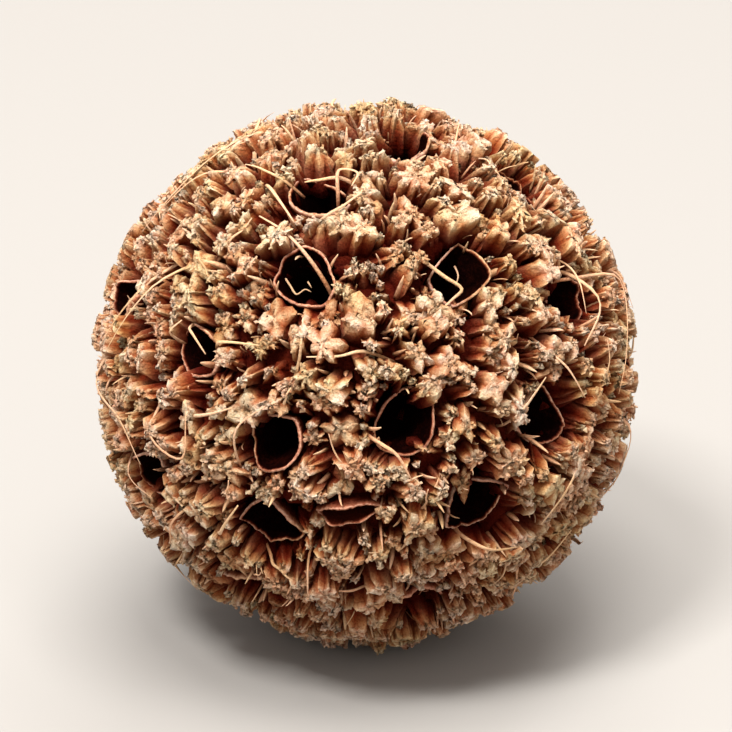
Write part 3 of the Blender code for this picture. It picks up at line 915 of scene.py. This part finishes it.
def seen_bristles(strands, looks):
    """The bristles along the best-seen side, with their roots sunk in, and the fibres in the openings."""
    root, first, others = SEEN_BRISTLE_RADII
    for shares, thickness in SEEN_BRISTLES:
        distances = [first] + [others] * (len(shares) - 1)
        points = [CENTRE + seen_direction(x, y) * distance for (x, y), distance in zip(shares, distances)]
        behind = (points[0] * 1.2 - points[1] * 0.2 - CENTRE).normalized()
        points.insert(0, CENTRE + behind * root)
        path = smooth_path(kinked(points, looks, SEEN_BRISTLE_KINKS), 5)
        strands.add(path, thickness * SEEN_BRISTLE_SLIMNESS * MM, looks.random())
    for shares, distance, thickness in SEEN_FIBRES:
        points = [CENTRE + seen_direction(x, y) * distance * MM for x, y in shares]
        strands.add(smooth_path(points, 4), thickness * MM, 0.0, pale=0.85)


def fine_bristles(strands, rng, places):
    """Short thin bristles anywhere but over the openings and under the ball."""
    made = 0
    while made < FINE_COUNT:
        z = rng.uniform(-0.9, 1.0)
        around = rng.uniform(0.0, math.tau)
        ring = math.sqrt(1.0 - z * z)
        root = Vector((ring * math.cos(around), ring * math.sin(around), z))
        heading = rng.uniform(0.0, math.tau)
        length = rng.uniform(*FINE_LENGTH)
        top = rng.uniform(*FINE_TOP)
        points = bristle_path(root, heading, length, top, FINE_ROOT, rng.uniform(-0.5, 0.5), 5)
        ways = [p - CENTRE for p in points[1:]]
        over = any(way.angle(place[0]) < angle_of(place[1]) * 0.85 for way in ways for place in places)
        if over or min(p.z for p in points) < 0.4 * MM:
            continue
        path = smooth_path(kinked(points, rng, FINE_KINKS), 4)
        tone = rng.random()
        strands.add(path, rng.uniform(*FINE_THICKNESS), tone, sides=5)
        made += 1


def slivers(rng, tips, material):
    """Short flat splinters that stand between the scales and along their edges."""
    strands = Strands()
    made = 0
    while made < SLIVER_COUNT:
        tip = Vector(tips[rng.randrange(len(tips))])
        root = moved(tip, rng.uniform(0.0, math.tau), rng.uniform(*SLIVER_OFFSET))
        if root.z < -0.88:
            continue
        lean = rng.uniform(*SLIVER_LEAN)
        end = moved(root, rng.uniform(0.0, math.tau), lean)
        top = rng.uniform(*SLIVER_TOP)
        middle = (root + end).normalized()
        path = [CENTRE + root * SLIVER_ROOT, CENTRE + middle * (top * 0.5 + 6.6 * MM), CENTRE + end * top]
        path = smooth_path(path, 3)
        strands.add(path, rng.uniform(*SLIVER_THICKNESS), rng.random(), sides=4, flatness=0.40, blunt=0.20)
        made += 1
    strands.build("slivers", material)


# The stalk scar


def stalk_scar(rng, material):
    """The stub of the stalk: a ring of torn fibres round a disc, flat where the ball rests on it."""
    rows = (
        (SCAR_SKIRT * 1.05, SCAR_HEIGHT * 1.5),
        (SCAR_SKIRT, SCAR_HEIGHT),
        (SCAR_SKIRT * 0.96, SCAR_HEIGHT * 0.5),
        (SCAR_RADIUS * 1.04, 0.12 * MM),
        (SCAR_RADIUS, 0.0),
        (SCAR_RADIUS * 0.86, 0.0),
        (SCAR_RADIUS * 0.80, 0.10 * MM),
        (SCAR_RADIUS * 0.45, 0.12 * MM),
        (SCAR_RADIUS * 0.20, 0.18 * MM),
    )
    points, level, crease, tone = [], [], [], []
    for j, (radius, height) in enumerate(rows):
        for a in range(SCAR_AROUND):
            angle = math.tau * a / SCAR_AROUND
            flute = 1.0 - 0.05 * (a % 3 == 0) - rng.uniform(0.0, 0.03)
            z = height + (rng.uniform(0.0, 0.06) * MM if height > 0.0 else 0.0)
            points.append((radius * flute * math.cos(angle), radius * flute * math.sin(angle), z))
            level.append(0.75 - 0.35 * (j < 2) - 0.2 * (j > 5))
            # The flutes are marked as creases, which get painted shade.
            crease.append(0.8 if a % 3 == 0 else 0.1)
            tone.append(0.3 + 0.2 * rng.random())
    for values, last in ((points, (0.0, 0.0, 0.22 * MM)), (level, 0.3), (crease, 0.5), (tone, 0.3)):
        values.append(last)
    faces = [face[::-1] for face in tube_faces(len(rows), SCAR_AROUND) + fan_faces(len(rows), SCAR_AROUND)]
    mesh_object("stalk_scar", np.array(points), faces, point_values(level, crease, tone), material)


# Materials

# Colours by level, from deep in the gaps to the crowns, edges and tips. The near-black low stops are painted
# shade, deep between the scales and in the pits.
SCALE_STOPS = (
    (0.00, (0.078, 0.010, 0.007)),
    (0.40, (0.240, 0.050, 0.020)),
    (0.66, (0.450, 0.205, 0.082)),
    (0.85, (0.670, 0.460, 0.270)),
    (1.00, (0.765, 0.665, 0.530)),
)
LIP_STOPS = (
    (0.00, (0.004, 0.001, 0.001)),
    (0.45, (0.050, 0.009, 0.005)),
    (0.75, (0.280, 0.110, 0.065)),
    (1.00, (0.800, 0.570, 0.440)),
)
BRISTLE_STOPS = (
    (0.00, (0.070, 0.016, 0.008)),
    (0.55, (0.300, 0.120, 0.060)),
    (1.00, (0.640, 0.390, 0.250)),
)

# Sizes of the wood's patches of hue, blotches, speckles and streaks
HUE_SIZE = 3.0 * MM
BLOTCH_SIZE = 0.8 * MM
SPECKLE_SIZE = 0.17 * MM
STREAK_SIZE = 0.09 * MM
BUMP_HEIGHT = 0.16 * MM


class Nodes:
    """Short calls to make and join the nodes of one material."""

    def __init__(self, name):
        self.material = bpy.data.materials.new(name)
        self.material.use_nodes = True
        self.tree = self.material.node_tree
        self.shader = self.tree.nodes["Principled BSDF"]

    def new(self, kind, **settings):
        node = self.tree.nodes.new(kind)
        for key, value in settings.items():
            setattr(node, key, value)
        return node

    def join(self, source, target):
        self.tree.links.new(source, target)

    def attribute(self, name):
        return self.new("ShaderNodeAttribute", attribute_name=name).outputs["Fac"]

    def math(self, operation, *values, clamp=False):
        node = self.new("ShaderNodeMath", operation=operation, use_clamp=clamp)
        for socket, value in zip(node.inputs, values):
            if isinstance(value, (int, float)):
                socket.default_value = value
            else:
                self.join(value, socket)
        return node.outputs[0]

    def noise(self, vector, size, detail=3.0, roughness=0.55):
        node = self.new("ShaderNodeTexNoise")
        node.inputs["Scale"].default_value = 1.0 / size
        node.inputs["Detail"].default_value = detail
        node.inputs["Roughness"].default_value = roughness
        self.join(vector, node.inputs["Vector"])
        return node.outputs["Fac"]

    def ramp(self, factor, stops):
        node = self.new("ShaderNodeValToRGB")
        elements = node.color_ramp.elements
        while len(elements) < len(stops):
            elements.new(0.5)
        for element, (position, colour) in zip(elements, stops):
            element.position = position
            element.color = (*colour, 1.0)
        self.join(factor, node.inputs["Fac"])
        return node.outputs["Color"]

    def mix(self, blend, factor, colour, other):
        node = self.new("ShaderNodeMix", data_type="RGBA", blend_type=blend)
        self.join(factor, node.inputs[0])
        self.join(colour, node.inputs[6])
        node.inputs[7].default_value = (*other, 1.0)
        return node.outputs[2]

    def tint(self, colour, factor, share, by):
        """The colour multiplied by another, by a share of a factor."""
        return self.mix("MULTIPLY", self.math("MULTIPLY", factor, share), colour, by)


def out_of_ball(n, place):
    """The direction from the ball's middle to each place."""
    offset = n.new("ShaderNodeVectorMath", operation="SUBTRACT")
    n.join(place, offset.inputs[0])
    offset.inputs[1].default_value = CENTRE
    direction = n.new("ShaderNodeVectorMath", operation="NORMALIZE")
    n.join(offset.outputs[0], direction.inputs[0])
    return direction.outputs[0]


def varied_hue(n, colour, place, blotches, tone, warm):
    """The colour with warm blotches, and yellow and pink patches some scales across."""
    warmth = n.math("MULTIPLY_ADD", blotches, 2.2, n.math("MULTIPLY_ADD", tone, 1.2, -1.5), clamp=True)
    colour = n.tint(colour, warmth, 0.6, warm)
    hue = n.noise(place, HUE_SIZE, 2.0)
    yellow = n.math("MULTIPLY_ADD", hue, 5.0, n.math("MULTIPLY_ADD", tone, -0.8, -1.9), clamp=True)
    colour = n.tint(colour, yellow, 0.7, (0.93, 0.93, 0.60))
    pink = n.math("MULTIPLY_ADD", hue, -5.0, n.math("MULTIPLY_ADD", tone, 0.8, 1.7), clamp=True)
    return n.tint(colour, pink, 0.6, (1.0, 0.83, 0.84))


def wood(name, stops, warm, pale, grain=1.0, streaks=0.5, shine=0.13, ridge_highlight_share=0.45):
    """Dry wood, coloured by its level (0 deep between the scales, 1 on a crown) with painted shade at the deep
    end, with streaks out of the ball, painted shade in the creases and in the grain's hollows, painted
    highlights on the ridges, painted shade towards the bottom of the ball, and a crumbly grain."""
    n = Nodes(name)
    place = n.new("ShaderNodeTexCoord").outputs["Object"]
    level, crease, tone = (n.attribute(key) for key in ("level", "crease", "tone"))
    blotches = n.noise(place, BLOTCH_SIZE, 4.0)
    speckle = n.noise(place, SPECKLE_SIZE, 5.0, 0.8)
    streak = n.noise(out_of_ball(n, place), STREAK_SIZE / (14.3 * MM), 2.0)
    grit = n.new("ShaderNodeTexVoronoi")
    grit.inputs["Scale"].default_value = 1.0 / SPECKLE_SIZE
    n.join(place, grit.inputs["Vector"])

    # The ramp by level paints shade: near black deep between the scales and in the pits, paler on the crowns.
    shifted = n.math("ADD", level, n.math("MULTIPLY_ADD", blotches, 0.36, -0.18))
    shifted = n.math("ADD", shifted, n.math("MULTIPLY_ADD", speckle, 0.44, -0.22), clamp=True)
    colour = varied_hue(n, n.ramp(shifted, stops), place, blotches, tone, warm)
    paleness = n.math("MULTIPLY_ADD", tone, -1.6, 0.9, clamp=True)
    colour = n.mix("SCREEN", n.math("MULTIPLY", paleness, level), colour, pale)
    dark = n.math("MULTIPLY_ADD", streak, -3.4, 2.0, clamp=True)
    colour = n.tint(colour, dark, streaks, (0.58, 0.27, 0.13))
    # Painted highlight: a pale colour screened onto the ridges and crowns, away from the creases.
    painted_ridge_highlight = n.math("POWER", n.math("SUBTRACT", 1.0, crease, clamp=True), 4.0)
    painted_ridge_highlight = n.math("MULTIPLY", painted_ridge_highlight, n.math("MULTIPLY", level, ridge_highlight_share))
    colour = n.mix("SCREEN", painted_ridge_highlight, colour, (0.34, 0.25, 0.14))
    # Painted shade: the creases multiplied dark red-brown.
    colour = n.tint(colour, crease, 0.85, (0.52, 0.19, 0.08))
    # Painted shade in the grain's hollows: darker where the speckle, and so the bump, is low.
    hollow = n.math("MULTIPLY_ADD", speckle, -5.0, 2.3, clamp=True)
    colour = n.tint(colour, hollow, 0.75, (0.46, 0.20, 0.10))
    # Painted shade: darker red-brown towards the bottom of the ball, most deep in the gaps.
    height = n.new("ShaderNodeSeparateXYZ")
    n.join(place, height.inputs[0])
    low = n.math("MULTIPLY_ADD", height.outputs["Z"], -1.0 / (14.0 * MM), 1.1, clamp=True)
    colour = n.tint(colour, low, n.math("MULTIPLY_ADD", level, -0.80, 1.0), (0.42, 0.22, 0.15))
    n.join(colour, n.shader.inputs["Base Color"])
    n.join(n.math("MULTIPLY_ADD", speckle, 0.25, 0.70), n.shader.inputs["Roughness"])
    n.join(n.math("MULTIPLY", level, shine), n.shader.inputs["Specular IOR Level"])

    bumps = n.math("ADD", speckle, n.math("MULTIPLY", streak, 0.5))
    bumps = n.math("ADD", bumps, n.math("MULTIPLY", grit.outputs["Distance"], -0.45))
    bump = n.new("ShaderNodeBump")
    bump.inputs["Strength"].default_value = grain
    bump.inputs["Distance"].default_value = BUMP_HEIGHT
    n.join(bumps, bump.inputs["Height"])
    n.join(bump.outputs["Normal"], n.shader.inputs["Normal"])
    return n.material


# The floor, light and camera

# Each light's name, azimuth, elevation, distance, size, watts and colour
LIGHTS = (
    ("key", -38.0, 60.0, 0.5, 0.12, 3.25, (1.0, 0.97, 0.94)),
    ("top", 20.0, 82.0, 0.5, 0.25, 3.2, (1.0, 0.97, 0.93)),
    ("fill", 30.0, 28.0, 0.6, 0.5, 0.45, (1.0, 0.80, 0.62)),
    ("back", 165.0, 50.0, 0.6, 0.35, 2.2, (1.0, 0.98, 0.95)),
)
FLOOR_SIZE = 4.0
CAMERA_DISTANCE = 0.3
CAMERA_LENS = 280.0


def plain_floor():
    n = Nodes("pale_floor")
    n.shader.inputs["Base Color"].default_value = (0.27, 0.262, 0.25, 1.0)
    n.shader.inputs["Roughness"].default_value = 0.9
    bpy.ops.mesh.primitive_plane_add(size=FLOOR_SIZE)
    floor = bpy.context.object
    floor.name = "floor"
    floor.data.materials.append(n.material)


def aimed(name, data, target, back, distance):
    """A light or camera at a distance back from its target, turned towards it."""
    obj = bpy.data.objects.new(name, data)
    obj.location = target + back * distance
    obj.rotation_euler = (-back).to_track_quat("-Z", "Y").to_euler()
    bpy.context.scene.collection.objects.link(obj)
    return obj


def area_light(name, azimuth, elevation, distance, size, watts, colour):
    """A square light that faces the ball, with azimuth 0 on the camera's side and 90 on the right."""
    data = bpy.data.lights.new(name, "AREA")
    data.size = size
    data.energy = watts
    data.color = colour
    a, e = math.radians(azimuth), math.radians(elevation)
    back = Vector((math.sin(a) * math.cos(e), -math.cos(a) * math.cos(e), math.sin(e)))
    aimed(name, data, CENTRE, back, distance)


def studio():
    for light in LIGHTS:
        area_light(*light)
    world = bpy.data.worlds.new("studio")
    bpy.context.scene.world = world
    world.use_nodes = True
    background = world.node_tree.nodes["Background"]
    background.inputs["Color"].default_value = (1.0, 0.91, 0.86, 1.0)
    background.inputs["Strength"].default_value = 0.80
    bpy.context.scene.view_settings.view_transform = "Standard"


def best_side_camera():
    data = bpy.data.cameras.new("camera")
    data.lens = CAMERA_LENS
    data.clip_start = 0.01
    middle = Vector((0.0, 0.0, BALL_RADIUS - 0.2 * MM))
    bpy.context.scene.camera = aimed("camera", data, middle, Vector(TOWARD_VIEW), CAMERA_DISTANCE)


def main():
    scale_wood = wood("scale_wood", SCALE_STOPS, (1.0, 0.69, 0.48), (0.14, 0.12, 0.08))
    lip_wood = wood("capsule_wall", LIP_STOPS, (1.0, 0.7, 0.5), (0.03, 0.01, 0.005), 0.5, 0.3, 0.0, 0.0)
    fibre = wood("bristle_fibre", BRISTLE_STOPS, (1.0, 0.70, 0.50), (0.10, 0.08, 0.05), 0.6, 0.3)
    rng = random.Random(SEED)
    places = capsule_places(rng)
    tips, spacing = spread_tips(places, rng)
    draws = np.random.default_rng(SEED)
    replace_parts(woody_core(places, scale_wood), "seed_ball")
    tips, half, crowns = large_scales(draws, tips, spacing, places, scale_wood)
    small_scales(draws, tips, half, places, scale_wood)
    capsule_lips(draws, places, lip_wood)
    strands = Strands()
    looks = random.Random(SEED + 4)
    solid_bristles(strands, random.Random(SEED + 1), looks, places)
    seen_bristles(strands, looks)
    fine_bristles(strands, looks, places)
    strands.build("bristles", fibre)
    slivers(random.Random(SEED + 2), tips, fibre)
    stalk_scar(random.Random(SEED + 3), scale_wood)
    crumbs(np.random.default_rng(SEED + 5), crowns, scale_wood)
    plain_floor()
    studio()
    best_side_camera()


main()
